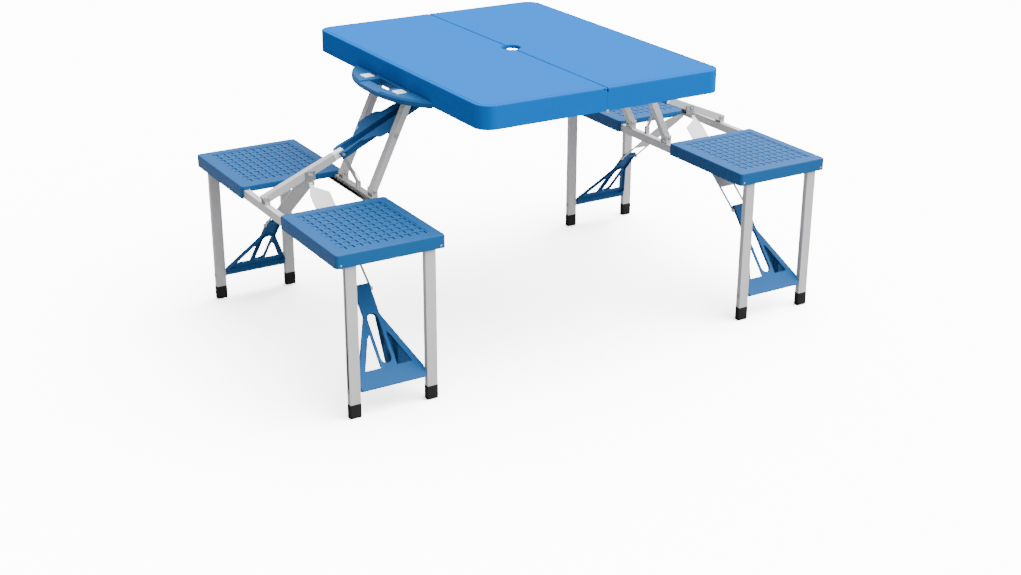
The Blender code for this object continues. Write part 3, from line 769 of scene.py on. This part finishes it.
# ---- one side's folding frame --------------------------------------------------------------------
@dataclass
class FoldingSide(Assembly):
    """The rails, arms, brace tube, stay, strut and strip hanger on one side."""

    side: int = 1
    tube_round: float = 0.6 * MM
    knuckle_round: float = 1.0 * MM
    stay_round: float = 0.8 * MM
    thin_round: float = 0.5 * MM
    arm_y: float = 79.0 * MM
    arm_face: float = 11.6 * MM
    arm_foot_face: float = 13.6 * MM
    root_face: float = 13.2 * MM
    stay_face: float = 17.9 * MM
    stay_rise: float = 25.27
    knuckle_reach: float = -114.4 * MM
    upper_reach: float = 121.0 * MM
    wire_radius: float = 1.1 * MM
    wire_offset: float = 4.5 * MM
    wire_inset: tuple[float, float] = (8.0 * MM, 6.0 * MM)

    @property
    def tag(self) -> str:
        """Name prefix of this side's nodes."""
        return "left" if self.side < 0 else "right"

    def build(self) -> None:
        """Make every piece of the folding frame."""
        tag = self.tag
        for which in ("inner", "outer"):
            self.rounded(f"{tag}_rail_{which}", tube_finish(Grain.ALONG_Y), self.tube_round, flat=True)
        for place in ("near", "far"):
            self._arm(place)
        self.rounded(f"{tag}_brace_tube", tube_finish(Grain.ALONG_X), self.tube_round)
        self.rounded(f"{tag}_knuckle", WHITE_PLASTIC, self.knuckle_round)
        self.rounded(f"{tag}_stay", SEAT_PLASTIC, self.stay_round)
        self.rounded(f"{tag}_lock_strut", ZINC, self.thin_round)
        self.rounded(f"{tag}_strip_hanger", ZINC, self.thin_round)
        self._lock_wire()
        self._brace_rivets()

    def _point(self, joint: str) -> Vector:
        """Return the place of a joint of this side."""
        found = next(j for j in FRAME["joints"] if j["name"] == f"{self.tag}_{joint}")
        return Vector(found["pos_m"])

    def _arm(self, place: str) -> None:
        """Make one folding arm with its rivet heads.

        Args:
            place: Which arm, near or far.
        """
        node = f"{self.tag}_{place}_arm"
        self.rounded(node, tube_finish(Grain.ALONG_Z), self.tube_round)
        outward = -1 if place == "near" else 1
        centre = outward * self.arm_y
        body = self.body_of(node)
        foot = self._point("frame_level")
        middle = self._point("stay_turn")
        start = (middle.x, centre + outward * self.arm_face, middle.z)
        self.rivet(f"{node}_middle_rivet", start, (0, outward, 0), ARM_MIDDLE_RIVET, body)
        for way in (-1, 1):
            start = (foot.x, centre + way * self.arm_foot_face, foot.z)
            self.rivet(f"{node}_foot_rivet_{way + 1}", start, (0, way, 0), ARM_FOOT_RIVET, body)

    def _lock_wire(self) -> None:
        """Make the thin wire that runs beside the lock strut."""
        low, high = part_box(f"{self.tag}_lock_strut")
        foot = self._point("strut_turn")
        head = Vector((high[0] if self.side > 0 else low[0], foot.y, high[2]))
        offset = Vector((-self.side * self.wire_offset, 0, 0))
        start = foot + offset + Vector((0, 0, self.wire_inset[0]))
        end = head + offset - Vector((0, 0, self.wire_inset[1]))
        profile = [(0, self.wire_radius), (1, self.wire_radius)]
        wire = Mesh.turned(f"{self.tag}_lock_wire", start, end, profile, FINE_SIDES)
        Mesh.smooth(wire, TURNED_ANGLE)
        self.dress(wire, self.body_of(f"{self.tag}_lock_strut"), ZINC)

    def _brace_rivets(self) -> None:
        """Add rivet heads at the brace tube's root and at the stay's two ends."""
        root = self._point("brace_turn")
        middle = self._point("stay_turn")
        body = self.body_of(f"{self.tag}_brace_tube")
        stay = self.body_of(f"{self.tag}_stay")
        rise = math.radians(self.stay_rise)
        along = Vector((-self.side * math.cos(rise), 0, math.sin(rise)))
        for way in (-1, 1):
            axis = (0, way, 0)
            start = (root.x, way * self.root_face, root.z)
            self.rivet(f"{self.tag}_root_rivet_{way + 1}", start, axis, BRACE_ROOT_RIVET, body)
            for label, reach in (("knuckle", self.knuckle_reach), ("upper", self.upper_reach)):
                point = middle + reach * along
                start = (point.x, way * self.stay_face, point.z)
                self.rivet(f"{self.tag}_{label}_rivet_{way + 1}", start, axis, STAY_RIVET, stay)


# ---- seats ---------------------------------------------------------------------------------------
@dataclass
class SeatUnit(Assembly):
    """One seat with its legs, feet, axle, triangular brace and strip."""

    side: int = 1
    end: int = 1
    panel_inset: float = 27.0 * MM
    columns: int = 11
    rows: int = 10
    hook_reach: float = 0.33
    hook_width: float = 3.4 * MM
    slot_depth: float = 4.0 * MM
    slot_clear: float = 2.0 * MM
    backing_inset: float = 20.0 * MM
    backing_drop: tuple[float, float] = (5.8 * MM, 2.5 * MM)
    seat_round: float = 0.9 * MM
    leg_round: float = 0.6 * MM
    foot_round: float = 1.2 * MM
    axle_round: float = 0.7 * MM
    triangle_round: float = 0.8 * MM
    strip_round: float = 0.5 * MM
    groove_heights: tuple[float, float] = (4.0 * MM, 6.5 * MM)
    groove_width: float = 0.9 * MM
    groove_depth: float = 0.5 * MM
    screw_inset: float = 12.0 * MM
    screw_height: float = 6.5 * MM
    screw_sink: float = 0.4 * MM

    @property
    def label(self) -> str:
        """Name prefix of this seat's nodes."""
        return f"{'left' if self.side < 0 else 'right'}_{'near' if self.end < 0 else 'far'}"

    def build(self) -> None:
        """Make every piece of the seat unit."""
        label = self.label
        self.rounded(f"{label}_seat", SEAT_PLASTIC, self.seat_round, self._weave)
        for which in ("inner", "outer"):
            self.rounded(f"{label}_leg_{which}", tube_finish(Grain.ALONG_Z), self.leg_round)
            grooves = self._foot_grooves(which)
            self.rounded(f"{label}_foot_{which}", RUBBER, self.foot_round, grooves)
        self.rounded(f"{label}_axle", ZINC, self.axle_round)
        self.rounded(f"{label}_triangle", SEAT_PLASTIC, self.triangle_round)
        self.rounded(f"{label}_strip", tube_finish(Grain.ALONG_Y), self.strip_round)
        self._seat_screws()

    def _weave(self, seat: bpy.types.Object) -> None:
        """Thicken the panel underneath and cut the pattern of hook-shaped slots.

        Args:
            seat: The seat to change.
        """
        low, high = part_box(f"{self.label}_seat")
        top = high[2]
        inset = self.backing_inset
        below, above = (top - drop for drop in self.backing_drop)
        start = (low[0] + inset, low[1] + inset, below)
        stop = (high[0] - inset, high[1] - inset, above)
        Mesh.combine(seat, Mesh.box("panel", start, stop), "UNION")
        first = Vector((low[0] + self.panel_inset, low[1] + self.panel_inset))
        last = Vector((high[0] - self.panel_inset, high[1] - self.panel_inset))
        pitch = ((last.x - first.x) / self.columns, (last.y - first.y) / self.rows)
        levels = (top - self.slot_depth, top + self.slot_clear)
        a = self.hook_reach * pitch[0]
        b = self.hook_reach * pitch[1]
        t = self.hook_width
        hook = ((-a, b - t), (a - t, b - t), (a - t, -b), (a, -b), (a, b), (-a, b))
        slots = []
        for i in range(self.columns):
            for j in range(self.rows):
                x = first.x + (i + 0.5) * pitch[0]
                y = first.y + (j + 0.5) * pitch[1]
                slots.append(Mesh.loft("slot", [[(x + dx, y + dy, z) for dx, dy in hook] for z in levels]))
        Mesh.combine(seat, Mesh.join("slots", slots), "DIFFERENCE")

    def _foot_grooves(self, which: str) -> Callable[[bpy.types.Object], None]:
        """Return the mesh work for the grooves round one rubber foot.

        Args:
            which: Which foot, inner or outer.

        Returns:
            A function that cuts the grooves.
        """

        def change(foot: bpy.types.Object) -> None:
            """Cut a shallow ring at each groove height."""
            low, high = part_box(f"{self.label}_foot_{which}")
            depth = self.groove_depth
            for z in self.groove_heights:
                start = (low[0] - MM, low[1] - MM, z)
                stop = (high[0] + MM, high[1] + MM, z + self.groove_width)
                ring = Mesh.box("outer", start, stop)
                start = (low[0] + depth, low[1] + depth, z - MM)
                stop = (high[0] - depth, high[1] - depth, z + 2 * MM)
                Mesh.combine(ring, Mesh.box("inner", start, stop), "DIFFERENCE")
                Mesh.combine(foot, ring, "DIFFERENCE")

        return change

    def _seat_screws(self) -> None:
        """Add the small screws low on the end wall."""
        low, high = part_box(f"{self.label}_seat")
        wall = low[1] if self.end < 0 else high[1]
        body = self.body_of(f"{self.label}_seat")
        for index, x in enumerate((low[0] + self.screw_inset, high[0] - self.screw_inset)):
            start = (x, wall - self.end * self.screw_sink, low[2] + self.screw_height)
            self.rivet(f"{self.label}_screw_{index}", start, (0, self.end, 0), SEAT_SCREW, body)


# ---- studio --------------------------------------------------------------------------------------
@dataclass
class Studio:
    """A pale floor, soft light and the camera.

    Attributes:
        floor_size: Side of the square floor.
        floor_shown: Tone of the floor to the camera.
        floor_bounce: Tone of the floor for the light that it throws back.
        horizon: Light from every direction.
        zenith: Extra light at the middle of the bright patch.
        spread: Falloff of the patch, higher for a smaller one.
        overhead: Direction of the middle of the patch.
        azimuth: Camera heading in degrees, clockwise from +Y.
        elevation: Camera tilt below level in degrees.
        roll: Camera roll in degrees.
        eye: Camera place.
        lens: Focal length in millimetres.
    """

    floor_size: float = 60.0
    floor_shown: float = 2.6
    floor_bounce: float = 0.30
    horizon: float = 0.45
    zenith: float = 12.4
    spread: float = 2.6
    overhead: tuple[float, float, float] = (0.50, -0.16, 0.85)
    azimuth: float = 30.8931
    elevation: float = 22.4504
    roll: float = 0.2080
    eye: tuple[float, float, float] = (-1.98910, -3.32778, 1.63863)
    lens: float = 56.93

    def build(self) -> None:
        """Make the floor, the light and the camera."""
        self._floor()
        self._world()
        self._camera()

    def _floor(self) -> None:
        """Lay the pale floor, which looks whiter than the light it throws back."""
        half = self.floor_size / 2
        mesh = bpy.data.meshes.new("floor")
        corners = [(-half, -half, 0), (half, -half, 0), (half, half, 0), (-half, half, 0)]
        mesh.from_pydata(corners, [], [(0, 1, 2, 3)])
        floor = bpy.data.objects.new("floor", mesh)
        bpy.context.scene.collection.objects.link(floor)
        paint = bpy.data.materials.new("floor_paint")
        paint.use_nodes = True
        tree = paint.node_tree
        tree.nodes.remove(tree.nodes["Principled BSDF"])
        matt = tree.nodes.new("ShaderNodeBsdfDiffuse")
        path = tree.nodes.new("ShaderNodeLightPath")
        extra = self.floor_shown - self.floor_bounce
        tone = self._maths(tree, "MULTIPLY", path.outputs["Is Camera Ray"], extra)
        total = self._maths(tree, "ADD", tone.outputs["Value"], self.floor_bounce)
        tree.links.new(total.outputs["Value"], matt.inputs["Color"])
        tree.links.new(matt.outputs["BSDF"], tree.nodes["Material Output"].inputs["Surface"])
        mesh.materials.append(paint)

    def _world(self) -> None:
        """Light the set from a broad soft patch nearly overhead."""
        world = bpy.data.worlds.new("studio")
        world.use_nodes = True
        tree = world.node_tree
        link = tree.links.new
        background = tree.nodes["Background"]
        background.inputs["Color"].default_value = (1.0, 1.0, 1.0, 1.0)
        place = tree.nodes.new("ShaderNodeTexCoord")
        facing = tree.nodes.new("ShaderNodeVectorMath")
        facing.operation = "DOT_PRODUCT"
        facing.inputs[1].default_value = Vector(self.overhead).normalized()
        link(place.outputs["Generated"], facing.inputs[0])
        upper = self._maths(tree, "MAXIMUM", facing.outputs["Value"], 0.0)
        lobe = self._maths(tree, "POWER", upper.outputs["Value"], self.spread)
        scaled = self._maths(tree, "MULTIPLY", lobe.outputs["Value"], self.zenith)
        total = self._maths(tree, "ADD", scaled.outputs["Value"], self.horizon)
        link(total.outputs["Value"], background.inputs["Strength"])
        bpy.context.scene.world = world

    @staticmethod
    def _maths(
        tree: bpy.types.NodeTree, operation: str, value: bpy.types.NodeSocket, number: float
    ) -> bpy.types.Node:
        """Add a maths node that joins a socket and a number.

        Args:
            tree: Node tree to add to.
            operation: Name of the operation.
            value: Socket for the first input.
            number: Value of the second input.

        Returns:
            The maths node.
        """
        node = tree.nodes.new("ShaderNodeMath")
        node.operation = operation
        node.inputs[1].default_value = number
        tree.links.new(value, node.inputs[0])
        return node

    def _camera(self) -> None:
        """Place the camera by its direction and make it the scene's camera."""
        az = math.radians(self.azimuth)
        el = math.radians(self.elevation)
        roll = math.radians(self.roll)
        look = Vector((math.sin(az) * math.cos(el), math.cos(az) * math.cos(el), -math.sin(el)))
        level = look.cross(Vector((0, 0, 1))).normalized()
        rise = level.cross(look)
        right = math.cos(roll) * level + math.sin(roll) * rise
        up = math.cos(roll) * rise - math.sin(roll) * level
        data = bpy.data.cameras.new("camera")
        data.lens = self.lens
        camera = bpy.data.objects.new("camera", data)
        turn = Matrix((right, up, -look)).transposed().to_4x4()
        camera.matrix_world = Matrix.Translation(self.eye) @ turn
        bpy.context.scene.collection.objects.link(camera)
        bpy.context.scene.camera = camera


def main() -> None:
    """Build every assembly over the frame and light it."""
    logging.basicConfig(level=logging.INFO, format="%(message)s")
    FRAME.update(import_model())
    assemblies: list[Assembly] = [TableTop("table_top")]
    for side in (-1, 1):
        assemblies.append(FoldingSide("folding_side", side=side))
        for end in (-1, 1):
            assemblies.append(SeatUnit("seat_unit", side=side, end=end))
    for assembly in assemblies:
        assembly.build()
        log.info("%s: %d pieces", assembly.name, assembly.count)
    Studio().build()


if __name__ == "__main__":
    main()
